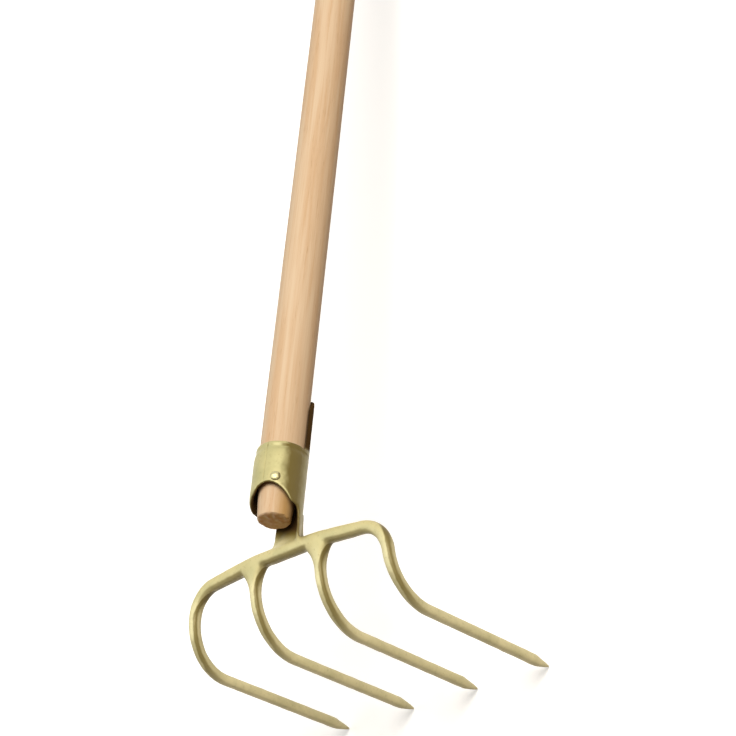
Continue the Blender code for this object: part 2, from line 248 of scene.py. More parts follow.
def facing(tree, way):
    """How far the surface faces a direction that is given in the upright tool's axes, from -1 to 1."""
    normal = tree.nodes.new("ShaderNodeNewGeometry").outputs["Normal"]
    return vectors(tree, "DOT_PRODUCT", normal, lying.to_3x3() @ Vector(way))


def noise_of(tree, vector, scale, detail, distortion):
    """A noise pattern from 0 to 1 on some coordinates."""
    texture = tree.nodes.new("ShaderNodeTexNoise")
    texture.inputs["Scale"].default_value = scale
    texture.inputs["Detail"].default_value = detail
    texture.inputs["Distortion"].default_value = distortion
    tree.links.new(vector, texture.inputs["Vector"])
    return texture.outputs["Fac"]


def ramped(tree, value, low, high, ends="From"):
    """The value stretched so that low gives 0 and high gives 1."""
    ramp = tree.nodes.new("ShaderNodeMapRange")
    ramp.inputs[ends + " Min"].default_value = low
    ramp.inputs[ends + " Max"].default_value = high
    tree.links.new(value, ramp.inputs["Value"])
    return ramp.outputs["Result"]


def spread(tree, share, low, high):
    """The value that runs from low to high as the share runs from 0 to 1."""
    return ramped(tree, share, low, high, "To")


def blended(tree, share, first, second):
    """Two colours mixed by a share, where either colour may be a socket or plain."""
    mix = tree.nodes.new("ShaderNodeMix")
    mix.data_type = "RGBA"
    tree.links.new(share, mix.inputs[0])
    for place, colour in zip(MIX_COLOURS_IN, (first, second)):
        feed(tree, (*colour, 1) if isinstance(colour, tuple) else colour, mix.inputs[place])
    return mix.outputs[MIX_COLOUR_OUT]


def maths(tree, operation, first, *others):
    """Arithmetic on sockets and plain numbers, one step after another where there are more than two."""
    for other in others or (0.0,):
        step = tree.nodes.new("ShaderNodeMath")
        step.operation = operation
        feed(tree, first, step.inputs[0])
        feed(tree, other, step.inputs[1])
        first = step.outputs["Value"]
    return first


def times(tree, *factors):
    """The product of masks and plain numbers."""
    return maths(tree, "MULTIPLY", *factors)


def relief(tree, height, strength):
    """The normals of a fine bump."""
    bump = tree.nodes.new("ShaderNodeBump")
    bump.inputs["Strength"].default_value = strength
    bump.inputs["Distance"].default_value = RELIEF_DEPTH
    tree.links.new(height, bump.inputs["Height"])
    return bump.outputs["Normal"]


def grain_of(tree, upright, grain):
    """One pattern of the wood, drawn out along the pole."""
    drawn = vectors(tree, "MULTIPLY", upright, (1.0, 1.0, grain["along"]))
    return noise_of(tree, drawn, grain["scale"], grain["detail"], grain["distortion"])


ash = bpy.data.materials.new("ash")
ash.use_nodes = True
tree = ash.node_tree
shader = tree.nodes["Principled BSDF"]
shader.inputs["Specular IOR Level"].default_value = ASH_SPECULAR
upright = along_the_pole(tree)
height = parts_of(tree, upright)[2]
fibres = grain_of(tree, upright, FIBRE_GRAIN)
growth = ramped(tree, grain_of(tree, upright, BAND_GRAIN), *BAND_EDGES)
pore_mask = times(tree, ramped(tree, grain_of(tree, upright, PORE_GRAIN), *PORE_EDGES), growth)
cloud_mask = ramped(tree, grain_of(tree, upright, CLOUD_GRAIN), *CLOUD_EDGES)
# Painted shade: the side of the pole's foot turned from the light is darker and browner
foot_shaded_side = ramped(tree, facing(tree, SHADED_SIDE), *FOOT_SHADE_EDGES)
foot_shade_mask = times(tree, foot_shaded_side, ramped(tree, height, *FOOT_SHADE_HEIGHTS))
wood_colour = ASH_PALE
for mask, share, colour in (
    (growth, BAND_SHARE, ASH_WARM),
    (ramped(tree, fibres, *FIBRE_EDGES), FIBRE_SHARE, ASH_WARM),
    (pore_mask, PORE_SHARE, ASH_PORE),
    (cloud_mask, CLOUD_SHARE, ASH_WARM),
    (ramped(tree, height, *SAWN_HEIGHTS), SAWN_SHARE, ASH_END_GRAIN),
    (foot_shade_mask, FOOT_SHADE_SHARE, ASH_SHADED),
):
    wood_colour = blended(tree, times(tree, mask, share), wood_colour, colour)
tree.links.new(wood_colour, shader.inputs["Base Color"])
tree.links.new(spread(tree, fibres, *ASH_ROUGHNESS), shader.inputs["Roughness"])
fibre_height = maths(tree, "SUBTRACT", fibres, pore_mask)
tree.links.new(relief(tree, fibre_height, ASH_RELIEF), shader.inputs["Normal"])
pole.data.materials.append(ash)
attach(pole, "root")
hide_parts("handle")


# Bars of the head
# One bar of round-cornered square steel is bent into the crossbar and both outer tines, and two more
# into the inner tines. Their ends are drawn out to points, and the inner ones are flared at the root.
TINE_THICKNESS = 0.0086
SHOULDER_THICKNESS = 0.0098
CROSSBAR_THICKNESS = 0.0120
CROSSBAR_FORWARD = 0.0155
CROSSBAR_DROP = 0.0193
CROSSBAR_BEND = 0.120
INNER_TINE_OUT = 0.035
SHOULDER_OUT = 0.1016
SHOULDER_FORWARD = CROSSBAR_FORWARD + 0.0016
SHOULDER_DROP = CROSSBAR_DROP + 0.0061
SHOULDER_BEND = 0.0265
ELBOW_OUT = 0.1081
ELBOW_FORWARD = 0.0290
ELBOW_DROP = 0.0830
ELBOW_BEND = 0.0400
INNER_ELBOW_BEND = 0.0460
TIP_REACH = 0.2070
TIP_DROP = 0.0683
TIP_TOE_IN = 0.0009
POINT_LENGTH = 0.020
POINT_LENGTH_BELOW = 0.015
POINT_END_THICKNESS = 0.0012
POINT_CURVE = 0.8
ROOT_FLARE = 0.0085
ROOT_FLARE_LENGTH = 0.021
ROOT_FLARE_CURVE = 2.4
ROOT_DEPTH_CURVE = 0.8
BAR_SQUARENESS = 2.5
BAR_SIDES = 40
BAR_STEP = 0.0012
BEND_STEP = math.radians(3)


def rounded_route(corners, bends):
    """Points along straight runs between corners, with each inner corner bent to its radius."""
    route = [corners[0]]
    for before, corner, after, radius in zip(corners, corners[1:], corners[2:], bends):
        back = (before - corner).normalized()
        ahead = (after - corner).normalized()
        opening = back.angle(ahead)
        swept = math.pi - opening
        centre = corner + (back + ahead).normalized() * radius / math.sin(opening / 2)
        start = corner + back * radius / math.tan(opening / 2) - centre
        axis = (-back).cross(ahead).normalized()
        steps = max(1, math.ceil(swept / BEND_STEP))
        for i in range(steps + 1):
            route.append(centre + Matrix.Rotation(swept * i / steps, 3, axis) @ start)
    route.append(corners[-1])
    return route


def evenly(route, step):
    """The same route with points the step apart."""
    lengths = [0.0]
    for before, after in zip(route, route[1:]):
        lengths.append(lengths[-1] + (after - before).length)
    count = math.ceil(lengths[-1] / step)
    points = []
    leg = 0
    for i in range(count + 1):
        wanted = lengths[-1] * i / count
        while leg < len(route) - 2 and lengths[leg + 1] < wanted:
            leg += 1
        share = (wanted - lengths[leg]) / (lengths[leg + 1] - lengths[leg])
        points.append(route[leg].lerp(route[leg + 1], clamped(share)))
    return points


def between(value, places, sizes):
    """The size at a value, on straight lines between the sizes at some places."""
    if value <= places[0]:
        return sizes[0]
    for low, high, first, second in zip(places, places[1:], sizes, sizes[1:]):
        if value <= high:
            return first + (second - first) * (value - low) / (high - low)
    return sizes[-1]


def drawn_out(distance, half):
    """Half sizes inward and outward near a tine's point, drawn in over a shorter length outside."""
    end = POINT_END_THICKNESS / 2
    inner = end + (half - end) * min(distance / POINT_LENGTH, 1) ** POINT_CURVE
    outer = end + (half - end) * min(distance / POINT_LENGTH_BELOW, 1) ** POINT_CURVE
    return inner, outer


def with_sockets(tree, sockets):
    """Gives a new tree its sockets, and returns its inputs' and its outputs' sockets inside it."""
    for name, way, kind in sockets:
        tree.interface.new_socket(name, in_out=way, socket_type="NodeSocket" + kind)
    return tree.nodes.new("NodeGroupInput").outputs, tree.nodes.new("NodeGroupOutput").inputs


def bar_sweep():
    """A node tree that sweeps a round-cornered square along a route that holds its own half sizes."""
    tree = bpy.data.node_groups.new("Bar sweep", "GeometryNodeTree")
    inputs, result = with_sockets(tree, (
        ("Route", "INPUT", "Geometry"),
        ("Sides", "INPUT", "Int"),
        ("Squareness", "INPUT", "Float"),
        ("Material", "INPUT", "Material"),
        ("Bar", "OUTPUT", "Geometry"),
    ))

    def stored(geometry, name, value):
        store = tree.nodes.new("GeometryNodeStoreNamedAttribute")
        store.data_type = "FLOAT_VECTOR"
        store.inputs["Name"].default_value = name
        tree.links.new(geometry, store.inputs["Geometry"])
        tree.links.new(value, store.inputs["Value"])
        return store.outputs["Geometry"]

    def named(name, kind="FLOAT"):
        read = tree.nodes.new("GeometryNodeInputNamedAttribute")
        read.data_type = kind
        read.inputs["Name"].default_value = name
        return read.outputs["Attribute"]

    def moved(start, way, distance):
        return vectors(tree, "ADD", start, vectors(tree, "SCALE", way, distance))

    to_curve = tree.nodes.new("GeometryNodeMeshToCurve")
    tree.links.new(inputs["Route"], to_curve.inputs["Mesh"])
    place = tree.nodes.new("GeometryNodeInputPosition").outputs["Position"]
    normal = tree.nodes.new("GeometryNodeInputNormal").outputs["Normal"]
    tangent = tree.nodes.new("GeometryNodeInputTangent").outputs["Tangent"]
    curve = stored(to_curve.outputs["Curve"], "centre", place)
    curve = stored(curve, "side", normal)
    curve = stored(curve, "ahead", tangent)
    ring = tree.nodes.new("GeometryNodeCurvePrimitiveCircle")
    ring.inputs["Radius"].default_value = 1.0
    tree.links.new(inputs["Sides"], ring.inputs["Resolution"])
    sweep = tree.nodes.new("GeometryNodeCurveToMesh")
    sweep.inputs["Fill Caps"].default_value = True
    tree.links.new(curve, sweep.inputs["Curve"])
    tree.links.new(stored(ring.outputs["Curve"], "corner", place), sweep.inputs["Profile Curve"])

    corner_x, corner_y = parts_of(tree, named("corner", "FLOAT_VECTOR"))[:2]
    squaring = maths(tree, "DIVIDE", 2.0, inputs["Squareness"])

    def squared(value):
        power = maths(tree, "POWER", maths(tree, "ABSOLUTE", value), squaring)
        return times(tree, power, maths(tree, "SIGN", value))

    side = named("side", "FLOAT_VECTOR")
    depth = vectors(tree, "CROSS_PRODUCT", named("ahead", "FLOAT_VECTOR"), side)
    wide = times(tree, squared(corner_x), named("half_wide"))
    deep = times(tree, squared(corner_y), named("half_deep"))
    deep = maths(tree, "ADD", deep, named("shift"))
    spot = moved(moved(named("centre", "FLOAT_VECTOR"), side, wide), depth, deep)
    move = tree.nodes.new("GeometryNodeSetPosition")
    tree.links.new(sweep.outputs["Mesh"], move.inputs["Geometry"])
    tree.links.new(spot, move.inputs["Position"])
    real = tree.nodes.new("GeometryNodeRealizeInstances")
    tree.links.new(move.outputs["Geometry"], real.inputs["Geometry"])
    finish = tree.nodes.new("GeometryNodeSetMaterial")
    tree.links.new(real.outputs["Geometry"], finish.inputs["Geometry"])
    tree.links.new(inputs["Material"], finish.inputs["Material"])
    tree.links.new(finish.outputs["Geometry"], result["Bar"])
    return tree


lacquer = bpy.data.materials.new("gold_lacquer")
sweep_tree = bar_sweep()


def forged_bar(name, route, section_at):
    """One bar, where section_at(distance, total) gives its half width, half depth and shift."""
    points = evenly(route, BAR_STEP)
    obj = line_through(name, points)
    total = sum((b - a).length for a, b in zip(points, points[1:]))
    sections = [section_at(total * i / (len(points) - 1), total) for i in range(len(points))]
    for place, label in enumerate(("half_wide", "half_deep", "shift")):
        attribute = obj.data.attributes.new(label, "FLOAT", "POINT")
        for i, section in enumerate(sections):
            attribute.data[i].value = section[place]
    modifier = obj.modifiers.new("Bar", "NODES")
    modifier.node_group = sweep_tree
    values = {"Sides": BAR_SIDES, "Squareness": BAR_SQUARENESS, "Material": lacquer}
    for item in sweep_tree.interface.items_tree:
        if item.in_out == "INPUT" and item.name in values:
            modifier[item.identifier] = values[item.name]
    bar = settled(obj)
    outward(bar.data)
    return bar


bow_corners = [
    Vector((ELBOW_OUT - TIP_TOE_IN, TIP_REACH, -TIP_DROP)),
    Vector((ELBOW_OUT, ELBOW_FORWARD, -ELBOW_DROP)),
    Vector((SHOULDER_OUT, SHOULDER_FORWARD, -SHOULDER_DROP)),
    Vector((INNER_TINE_OUT, CROSSBAR_FORWARD, -CROSSBAR_DROP)),
]
bow_corners += [Vector((-corner.x, corner.y, corner.z)) for corner in reversed(bow_corners)]
bow_bends = [ELBOW_BEND, SHOULDER_BEND, CROSSBAR_BEND]
bow_bends += list(reversed(bow_bends))


def bow_section(distance, total):
    """The bow is thickest along its crossbar and thins over its shoulders to its tines."""
    places = [INNER_TINE_OUT, SHOULDER_OUT, SHOULDER_OUT + ELBOW_BEND]
    sizes = [CROSSBAR_THICKNESS / 2, SHOULDER_THICKNESS / 2, TINE_THICKNESS / 2]
    half = between(abs(distance - total / 2), places, sizes)
    inner, outer = drawn_out(min(distance, total - distance), half)
    return inner, (inner + outer) / 2, (outer - inner) / 2


def inner_section(distance, total):
    """An inner tine widens and deepens to the crossbar's size over its root."""
    inner, outer = drawn_out(distance, TINE_THICKNESS / 2)
    from_root = total - distance - CROSSBAR_THICKNESS / 2
    share = clamped(1 - from_root / ROOT_FLARE_LENGTH)
    wide = inner + ROOT_FLARE * share**ROOT_FLARE_CURVE
    deepened = (CROSSBAR_THICKNESS - TINE_THICKNESS) / 2 * share**ROOT_DEPTH_CURVE
    return wide, (inner + outer) / 2 + deepened, (outer - inner) / 2


bars = [forged_bar("bow", rounded_route(bow_corners, bow_bends), bow_section)]
for side in (-1, 1):
    inner_corners = [
        Vector((side * (INNER_TINE_OUT - TIP_TOE_IN), TIP_REACH, -TIP_DROP)),
        Vector((side * INNER_TINE_OUT, ELBOW_FORWARD, -ELBOW_DROP)),
        Vector((side * INNER_TINE_OUT, CROSSBAR_FORWARD, -CROSSBAR_DROP)),
    ]
    bars.append(forged_bar("inner_tine", rounded_route(inner_corners, [INNER_ELBOW_BEND]), inner_section))


# Socket
# Steel sheet rolled round the foot of the pole into a collar, with its edges butted above an arched
# mouth, a long strap left standing up the back, and a forged neck that spreads onto the crossbar.
BORE_RADIUS = POLE_RADIUS + 0.0003
SOCKET_WALL = 0.003
SOCKET_RADIUS = BORE_RADIUS + SOCKET_WALL
SOCKET_SIDES = 160
COLLAR_TOP = POLE_TAPER_TOP
STRAP_HALF_WIDTH = 0.017
STRAP_TOP = 0.119
STRAP_CROWN = 0.019
STRAP_SHOULDER = 0.005
STRAP_SHOULDER_STEPS = 10
CROWN_STEPS = 24
MOUTH_LEFT = 0.0190
MOUTH_RIGHT = 0.0204
MOUTH_HEIGHT = 0.0242
MOUTH_TURN = math.radians(20)
MOUTH_STEPS = 30
SKIRT_BOTTOM = 0.0095
SKIRT_BACK = 0.0095
SKIRT_SLANT = 0.003
SKIRT_ROUNDING = 0.006
SKIRT_ROUNDING_STEPS = 16
SKIRT_TURN = math.radians(-12)
SKIRT_FRONT = 0.0215
SKIRT_RISE = 0.0120
SKIRT_RISE_LENGTH = 0.0135
SKIRT_RISE_STEPS = 20
NECK_TOP = 0.012
NECK_HALF_WIDTH = 0.0130
NECK_TOP_WIDTH = 0.90
NECK_FLARE = 0.0125
NECK_FLARE_CURVE = 4
NECK_SWELL_CURVE = 1.6
NECK_STEPS = 40
NECK_SIDE_STEPS = 20
CUT_REACH = 0.050
FAR_CUT = CUT_REACH * 2
NEAR_CUT = BORE_RADIUS * 0.4
CUT_OVERLAP = 0.0002
CROWN_OVERLAP = 0.01
CROWN_WALLS_IN = 0.5
CROWN_WALLS_OUT = 5


def built(name, bm):
    """An object made of what a bmesh holds."""
    mesh = bpy.data.meshes.new(name)
    bm.to_mesh(mesh)
    bm.free()
    return placed(name, mesh)


def skinned(name, rings, turn=0.0):
    """A solid through rings of as many points each, closed at both ends and turned about Z."""
    bm = bmesh.new()
    corners = [[bm.verts.new(point) for point in ring] for ring in rings]
    for first, second in zip(corners, corners[1:]):
        for i in range(len(first)):
            j = (i + 1) % len(first)
            bm.faces.new((first[i], first[j], second[j], second[i]))
    bm.faces.new(corners[0])
    bm.faces.new(corners[-1])
    bmesh.ops.recalc_face_normals(bm, faces=bm.faces)
    bmesh.ops.rotate(bm, verts=bm.verts, matrix=Matrix.Rotation(turn, 3, "Z"))
    return built(name, bm)


def plate(name, outline, near, far, turn=0.0):
    """A cutter: an outline of (x, z) points with its thickness from y = near to far, turned about Z."""
    return skinned(name, [[(x, y, z) for x, z in outline] for y in (near, far)], turn)


def wedge(name, outline, near, far, turn):
    """A cutter that stands square to the tube's wall: an outline as seen on its outside, at two radii."""
    rings = []
    for radius in (far, near):
        grown = radius / SOCKET_RADIUS
        rings.append([(x * grown, -math.sqrt(SOCKET_RADIUS**2 - x**2) * grown, z) for x, z in outline])
    return skinned(name, rings, turn)


def beside_crown(name, side):
    """A cutter that takes away one side of what is outside the strap's rounded end.

    It starts in line with the strap's straight side and turns square to the wall on its way up.
    """
    rows = []
    for i in range(CROWN_STEPS + 1):
        turn = math.pi / 2 * i / CROWN_STEPS
        x = STRAP_HALF_WIDTH * math.cos(turn)
        outer = math.asin(x / SOCKET_RADIUS)
        in_line = math.asin(x / BORE_RADIUS)
        inner = outer + (in_line - outer) * (1 - i / CROWN_STEPS)**2
        rows.append((outer, inner, STRAP_TOP - STRAP_CROWN * (1 - math.sin(turn))))
    rows[-1] = (-CROWN_OVERLAP, -CROWN_OVERLAP, STRAP_TOP)
    rows.append((-CROWN_OVERLAP, -CROWN_OVERLAP, STRAP_TOP + CUT_REACH))
    rings = []
    for outer, inner, height in rows:
        outside = Vector((side * SOCKET_RADIUS * math.sin(outer), SOCKET_RADIUS * math.cos(outer), height))
        inside = Vector((side * BORE_RADIUS * math.sin(inner), BORE_RADIUS * math.cos(inner), height))
        through = outside - inside
        rings.append((
            inside - through * CROWN_WALLS_IN,
            outside + through * CROWN_WALLS_OUT,
            Vector((side * FAR_CUT, 0, height)),
            Vector((side * NEAR_CUT, 0, height)),
        ))
    return skinned(name, rings)


def cut_by(obj, tools):
    """The object as a plain mesh, with these cutters taken away from it and then deleted."""
    for tool in tools:
        boolean = obj.modifiers.new("Cut", "BOOLEAN")
        boolean.operation = "DIFFERENCE"
        boolean.object = tool
    rest = settled(obj)
    for tool in tools:
        bpy.data.objects.remove(tool)
    return rest


tube_profile = [(SOCKET_RADIUS, STRAP_TOP), (SOCKET_RADIUS, -CROSSBAR_DROP)]
tube_profile += [(BORE_RADIUS, -CROSSBAR_DROP), (BORE_RADIUS, STRAP_TOP), (SOCKET_RADIUS, STRAP_TOP)]
tube = turned("tube", tube_profile, SOCKET_SIDES)

strap_foot = COLLAR_TOP + STRAP_SHOULDER
strap_side = STRAP_HALF_WIDTH + STRAP_SHOULDER
shoulder = (STRAP_SHOULDER, STRAP_SHOULDER)
strap_left = arc((-strap_side, strap_foot), shoulder, 270, 360, STRAP_SHOULDER_STEPS)
strap_right = arc((strap_side, strap_foot), shoulder, 180, 270, STRAP_SHOULDER_STEPS)
above = STRAP_TOP + CUT_REACH
left_of_strap = [(-CUT_REACH, above), (-CUT_REACH, COLLAR_TOP)] + strap_left + [(-STRAP_HALF_WIDTH, above)]
right_of_strap = [(STRAP_HALF_WIDTH, above)] + strap_right + [(CUT_REACH, COLLAR_TOP), (CUT_REACH, above)]
above_collar = [(-CUT_REACH, COLLAR_TOP), (CUT_REACH, COLLAR_TOP), (CUT_REACH, above), (-CUT_REACH, above)]

mouth_arch = arc((0, 0), (MOUTH_LEFT, MOUTH_HEIGHT), 180, 90, MOUTH_STEPS)
mouth_arch += arc((0, 0), (MOUTH_RIGHT, MOUTH_HEIGHT), 90, 0, MOUTH_STEPS)[1:]
mouth = [(-MOUTH_LEFT, -CUT_REACH)] + mouth_arch + [(MOUTH_RIGHT, -CUT_REACH)]

skirt_corner = (SKIRT_BACK - SKIRT_ROUNDING, SKIRT_BOTTOM - SKIRT_ROUNDING)
skirt_rounding = (SKIRT_ROUNDING, SKIRT_ROUNDING)
under_skirt = [(-CUT_REACH, -CUT_REACH), (-CUT_REACH, SKIRT_BOTTOM + SKIRT_RISE)]
for i in range(SKIRT_RISE_STEPS + 1):
    rise = 1 - i / SKIRT_RISE_STEPS
    under_skirt.append((SKIRT_RISE_LENGTH * (1 - rise) - SKIRT_FRONT, SKIRT_BOTTOM + SKIRT_RISE * rise**2))
under_skirt += arc(skirt_corner, skirt_rounding, 90, 0, SKIRT_ROUNDING_STEPS)
under_skirt += [(SKIRT_BACK + SKIRT_SLANT, -CROSSBAR_DROP), (SKIRT_BACK + SKIRT_SLANT, -CUT_REACH)]

beside_neck = [(-CUT_REACH, SKIRT_BOTTOM)]
for i in range(NECK_SIDE_STEPS + 1):
    down = i / NECK_SIDE_STEPS
    neck_edge = -NECK_HALF_WIDTH - NECK_FLARE * down**NECK_FLARE_CURVE
    beside_neck.append((neck_edge, SKIRT_BOTTOM * (1 - down) - CROSSBAR_DROP * down))
beside_neck.append((-CUT_REACH, -CROSSBAR_DROP))

socket = cut_by(tube, [
    plate("left_of_strap", left_of_strap, NEAR_CUT, CUT_REACH),
    plate("right_of_strap", right_of_strap, NEAR_CUT, CUT_REACH),
    plate("above_collar", above_collar, -CUT_REACH, NEAR_CUT + CUT_OVERLAP),
    beside_crown("left_of_crown", -1),
    beside_crown("right_of_crown", 1),
    wedge("mouth", mouth, NEAR_CUT, FAR_CUT, MOUTH_TURN),
    plate("under_skirt", under_skirt, -CUT_REACH, CUT_REACH, math.pi / 2 + SKIRT_TURN),
    plate("beside_neck", beside_neck, 0, CUT_REACH),
])

wall_middle = SOCKET_RADIUS - SOCKET_WALL / 2
neck_rings = []
for i in range(NECK_STEPS + 1):
    share = i / NECK_STEPS
    swell = share**NECK_SWELL_CURVE
    forward = wall_middle + (CROSSBAR_FORWARD - wall_middle) * swell
    deep = SOCKET_WALL / 2 + (CROSSBAR_THICKNESS / 2 - SOCKET_WALL / 2) * swell
    widening = NECK_TOP_WIDTH + (1 - NECK_TOP_WIDTH) * min(share * 2, 1)
    wide = NECK_HALF_WIDTH * widening + NECK_FLARE * share**NECK_FLARE_CURVE
    height = NECK_TOP - (NECK_TOP + CROSSBAR_DROP) * share
    ring = []
    for j in range(BAR_SIDES):
        angle = 2 * math.pi * (j + 0.5) / BAR_SIDES
        c = math.cos(angle)
        s = math.sin(angle)
        x = wide * math.copysign(abs(c) ** (2 / BAR_SQUARENESS), c)
        y = deep * math.copysign(abs(s) ** (2 / BAR_SQUARENESS), s)
        ring.append((x, forward + y, height))
    neck_rings.append(ring)
neck = skinned("neck", neck_rings)


# Welded head
# The socket's neck and the inner tines are welded to the crossbar and dressed smooth, so that on the
# real head they flow into one another. Here all of them become one skin, hammered and filed like the
# real one, with its collar drawn in under a rim and a groove where the sheet's edges meet.
SKIN_VOXEL = 0.00085
SKIN_ROUNDS = 2
SHEET_ROUNDS = 12
SHEET_EASING = 0.004
WELD_ROUNDS = 26
SMOOTHING = 0.5
WELD_SOFTNESS = 0.006
ROOT_WELD_RADIUS = 0.0145
ROOT_WELD_SINK = 0.55
NECK_WELD_REACH = 0.006
NECK_SIDE_MIDDLE = 0.001
NECK_SIDE_REACH = 0.009
NECK_SIDE_DRESSING = 0.7
COLLAR_DRAW = 0.0009
COLLAR_DRAW_HEIGHT = 0.016
COLLAR_TOP_SLACK = 0.001
STRAP_CLEARANCE = STRAP_HALF_WIDTH * 0.55
STRAP_EASING = 0.006
RIM_GROOVE = 0.0006
RIM_GROOVE_HEIGHT = 0.0050
RIM_GROOVE_SPREAD = 0.0022
HAMMER_MARKS = ((110, 0.7), (320, 0.3))
HAMMER_SINK = 0.35
HAMMERING = 0.00022
SEAM_WIDTH = 0.0007
SEAM_DEPTH = 0.0009
SEAM_TURN = math.radians(12)
SEAM_REACH = 0.003
SEAM_TOP_SLACK = 0.002
SEAM_CUTS = (-0.5, -0.15, 0.15, 0.5)
SEAM_FLOOR = 0.3
SEAM_CUT_DISTANCE = 0.00002

gathered = bmesh.new()
for part in [socket, neck] + bars:
    gathered.from_mesh(part.data)
    bpy.data.objects.remove(part)
head = built("welded_head", gathered)
skin = head.modifiers.new("One skin", "REMESH")
skin.mode = "VOXEL"
skin.voxel_size = SKIN_VOXEL
skin.use_smooth_shade = True
head = settled(head)


def near_weld(point):
    """How much the skin at a point is dressed: 1 in a root or in the neck, 0 on plain bar."""
    dressed = [0.0]
    for side in (-1, 1):
        height = -CROSSBAR_DROP - CROSSBAR_THICKNESS * ROOT_WELD_SINK
        root = Vector((side * INNER_TINE_OUT, CROSSBAR_FORWARD, height))
        dressed.append(1 - ((point - root).length - ROOT_WELD_RADIUS) / WELD_SOFTNESS)
    beside = abs(point.x) - NECK_HALF_WIDTH - NECK_FLARE
    above_bar = abs(point.z + CROSSBAR_DROP - CROSSBAR_THICKNESS / 2) - NECK_WELD_REACH
    behind = CROSSBAR_FORWARD - CROSSBAR_THICKNESS - point.y
    dressed.append(1 - max(beside, above_bar, behind) / WELD_SOFTNESS)
    beside_neck = max(NECK_HALF_WIDTH - abs(point.x), abs(point.z - NECK_SIDE_MIDDLE) - NECK_SIDE_REACH)
    dressed.append(NECK_SIDE_DRESSING - beside_neck / WELD_SOFTNESS)
    return clamped(max(dressed))


def on_sheet(point):
    """1 on the socket and its neck, 0 from the crossbar down."""
    return clamped((point.z + CROSSBAR_DROP / 2) / SHEET_EASING)


for name, share_at in (("Weld", near_weld), ("Sheet", on_sheet)):
    group = head.vertex_groups.new(name=name)
    for vertex in head.data.vertices:
        share = share_at(vertex.co)
        if share > 0:
            group.add([vertex.index], share, "REPLACE")
for name, rounds, group_name in (
    ("Dressed welds", WELD_ROUNDS, "Weld"),
    ("Filed sheet edges", SHEET_ROUNDS, "Sheet"),
    ("Eased edges", SKIN_ROUNDS, ""),
):
    smoothing = head.modifiers.new(name, "SMOOTH")
    smoothing.factor = SMOOTHING
    smoothing.iterations = rounds
    smoothing.vertex_group = group_name
head = settled(head)

normals = [vertex.normal.copy() for vertex in head.data.vertices]
for vertex, normal in zip(head.data.vertices, normals):
    point = vertex.co.copy()
    below_top = COLLAR_TOP - point.z
    if -COLLAR_TOP_SLACK <= below_top < COLLAR_DRAW_HEIGHT:
        radial = Vector((point.x, point.y, 0))
        through_wall = clamped((radial.length - BORE_RADIUS) / SOCKET_WALL)
        clear_of_strap = clamped((STRAP_CLEARANCE - point.y) / STRAP_EASING)
        drawn = COLLAR_DRAW * (1 - max(below_top, 0) / COLLAR_DRAW_HEIGHT) ** 2
        groove = RIM_GROOVE * math.exp(-((below_top - RIM_GROOVE_HEIGHT) / RIM_GROOVE_SPREAD) ** 2)
        point -= radial.normalized() * (drawn + groove) * clear_of_strap * through_wall
    dent = sum(noise.noise(point * scale) * share for scale, share in HAMMER_MARKS)
    vertex.co = point + normal * (dent - HAMMER_SINK) * HAMMERING

seam_side = Matrix.Rotation(SEAM_TURN, 3, "Z") @ Vector((1, 0, 0))
seam_front = Matrix.Rotation(SEAM_TURN, 3, "Z") @ Vector((0, -1, 0))


def by_the_seam(point):
    """Whether a point of the skin is on the collar's outer side, close to where its edges meet."""
    outside = point.dot(seam_front) > (SOCKET_RADIUS + BORE_RADIUS) / 2
    close = abs(point.dot(seam_side)) < SEAM_REACH
    return outside and close and 0 < point.z < COLLAR_TOP + SEAM_TOP_SLACK


seamed = bmesh.new()
seamed.from_mesh(head.data)
for share in SEAM_CUTS:
    faces = [face for face in seamed.faces if by_the_seam(face.calc_center_median())]
    edges = list({edge for face in faces for edge in face.edges})
    corners = list({corner for face in faces for corner in face.verts})
    bmesh.ops.bisect_plane(
        seamed, geom=faces + edges + corners, dist=SEAM_CUT_DISTANCE,
        plane_co=seam_side * SEAM_WIDTH * share, plane_no=seam_side,
    )
for corner in seamed.verts:
    if by_the_seam(corner.co) and abs(corner.co.dot(seam_side)) < SEAM_WIDTH * SEAM_FLOOR:
        corner.co -= seam_front * SEAM_DEPTH
seamed.to_mesh(head.data)
seamed.free()
head.data.shade_smooth()
head.data.transform(lying)


# Gold lacquer
# The head has a clear gold lacquer over ground steel: pale straw, clouded to olive, with small deep specks.
# Painted shade darkens it to brown on the sides turned from the light and on the undersides, and painted
# reflections lighten the faces turned furthest away. Painted shade darkens the sheet's cut faces and the
# rim's groove and is nearly black and dull inside the socket and down the strap's right edge, and a painted
# shadow of the pole's foot falls down the front of the neck.
LACQUER_STRAW = (0.700, 0.620, 0.310)
LACQUER_OLIVE = (0.505, 0.475, 0.225)
# The deep colour serves the small specks and the painted shade; the near-black one is painted shade only
LACQUER_DEEP = (0.155, 0.112, 0.020)
LACQUER_SHADE_BLACK = (0.050, 0.018, 0.004)
TINES_PALE = (0.850, 0.775, 0.450)
TINES_DEEP = (0.205, 0.160, 0.045)
LACQUER_GRAIN = 450
LACQUER_ROUGHNESS = (0.40, 0.56)
LACQUER_COAT = 0.22
LACQUER_COAT_ROUGHNESS = 0.25
LACQUER_METALLIC = 0.18
LACQUER_SPECULAR = 0.15
LACQUER_RELIEF = 0.30
CLOUDS = {"scale": 60, "detail": 3.0, "distortion": 0.4}
CLOUDS_MIDDLE = 0.5
SPECKS = {"scale": LACQUER_GRAIN, "detail": 3.0, "distortion": 0.0}

